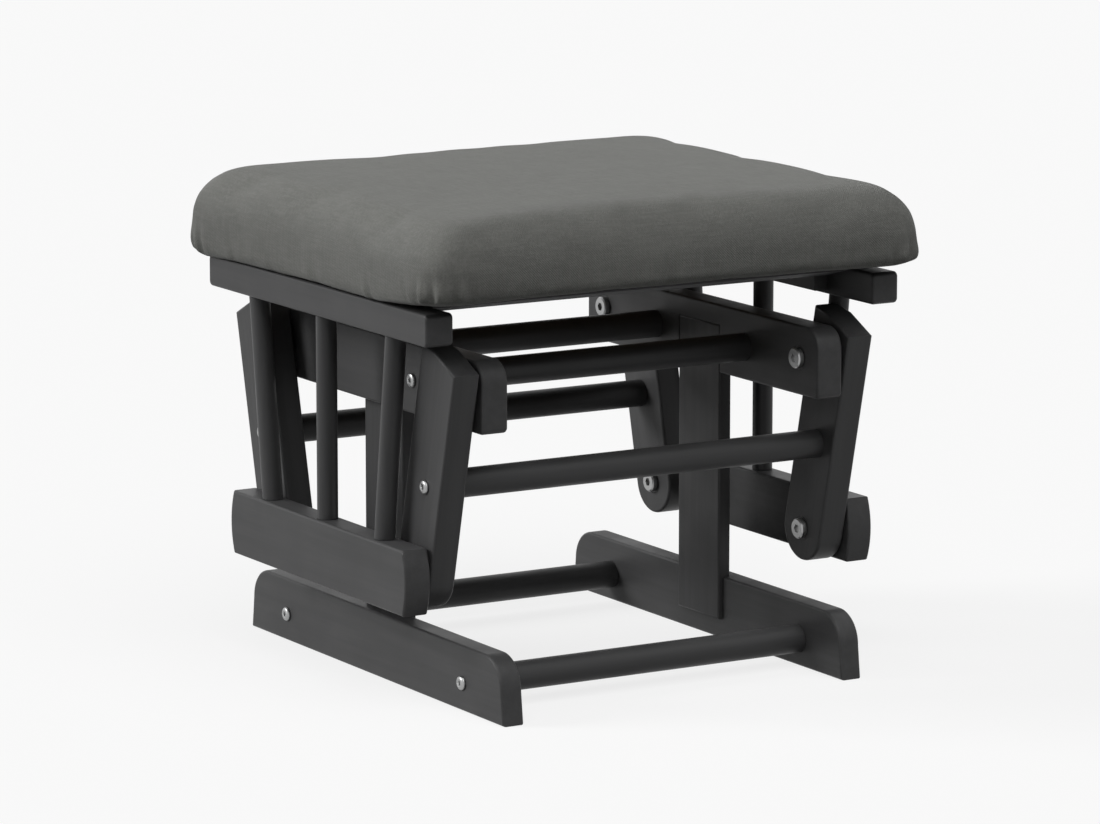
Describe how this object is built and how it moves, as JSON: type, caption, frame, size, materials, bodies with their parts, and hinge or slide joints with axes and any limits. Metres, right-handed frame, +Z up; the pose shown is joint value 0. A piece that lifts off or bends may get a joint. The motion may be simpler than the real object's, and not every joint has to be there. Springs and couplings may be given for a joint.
{
  "type": "glider ottoman",
  "caption": "Padded footstool on a painted wooden frame that glides to and fro on swinging side arms.",
  "frame": {"origin": "on the floor, under the middle of the base", "axes": "+X across, from one foot runner to the other; +Y along the runners, the way the seat glides; +Z up"},
  "size_m": [0.434, 0.4, 0.3783],
  "materials": {
    "frame_wood": "satin dark stain",
    "bolt_steel": "zinc plated",
    "bush_plastic": "moulded",
    "deck_plywood": "raw plywood",
    "cushion_fabric": "plain soft weave"
  },
  "bodies": {
    "base": {"foot_bolt_left_front": "bolt_steel", "foot_bolt_left_rear": "bolt_steel", "foot_bolt_right_front": "bolt_steel", "foot_bolt_right_rear": "bolt_steel", "foot_dowel_front": "frame_wood", "foot_dowel_rear": "frame_wood", "foot_runner_left": "frame_wood", "foot_runner_right": "frame_wood", "top_bolt_left_front": "bolt_steel", "top_bolt_left_rear": "bolt_steel", "top_bolt_right_front": "bolt_steel", "top_bolt_right_rear": "bolt_steel", "top_bush_left_front": "bush_plastic", "top_bush_left_rear": "bush_plastic", "top_bush_right_front": "bush_plastic", "top_bush_right_rear": "bush_plastic", "top_dowel_front": "frame_wood", "top_dowel_rear": "frame_wood", "top_rail_left": "frame_wood", "top_rail_right": "frame_wood", "upright_left": "frame_wood", "upright_right": "frame_wood"},
    "front_arms": {"arm_bolt_left_front": "bolt_steel", "arm_bolt_right_front": "bolt_steel", "arm_dowel_front": "frame_wood", "bottom_bush_left_front": "bush_plastic", "bottom_bush_right_front": "bush_plastic", "swing_arm_left_front": "frame_wood", "swing_arm_right_front": "frame_wood", "top_pivot_bolt_left_front": "bolt_steel", "top_pivot_bolt_right_front": "bolt_steel"},
    "rear_arms": {"arm_bolt_left_rear": "bolt_steel", "arm_bolt_right_rear": "bolt_steel", "arm_dowel_rear": "frame_wood", "bottom_bush_left_rear": "bush_plastic", "bottom_bush_right_rear": "bush_plastic", "swing_arm_left_rear": "frame_wood", "swing_arm_right_rear": "frame_wood", "top_pivot_bolt_left_rear": "bolt_steel", "top_pivot_bolt_right_rear": "bolt_steel"},
    "seat": {"bottom_pivot_bolt_left_front": "bolt_steel", "bottom_pivot_bolt_left_rear": "bolt_steel", "bottom_pivot_bolt_right_front": "bolt_steel", "bottom_pivot_bolt_right_rear": "bolt_steel", "cushion": "cushion_fabric", "deck_cleat_left": "frame_wood", "deck_cleat_right": "frame_wood", "lower_rail_left": "frame_wood", "lower_rail_right": "frame_wood", "seat_deck": "deck_plywood", "seat_rail_left": "frame_wood", "seat_rail_right": "frame_wood", "spindle_left_front": "frame_wood", "spindle_left_middle": "frame_wood", "spindle_left_rear": "frame_wood", "spindle_right_front": "frame_wood", "spindle_right_middle": "frame_wood", "spindle_right_rear": "frame_wood"}
  },
  "joints": [
    {"name": "front_arm_swing", "type": "hinge", "parent": "base", "child": "front_arms", "pos_m": [0, -0.143, 0.242], "axis": [1, 0, 0], "range_deg": [-11, 11]},
    {"name": "rear_arm_swing", "type": "hinge", "parent": "base", "child": "rear_arms", "pos_m": [0, 0.143, 0.242], "axis": [1, 0, 0], "range_deg": [-11, 11]},
    {"name": "seat_tilt", "type": "hinge", "parent": "front_arms", "child": "seat", "pos_m": [0, -0.11, 0.101], "axis": [1, 0, 0], "range_deg": [-14.3, 14.3]}
  ],
  "couplings": [
    {"joint": "rear_arm_swing", "follows": "front_arm_swing", "ratio": 1},
    {"joint": "seat_tilt", "follows": "front_arm_swing", "ratio": -1.2962}
  ]
}
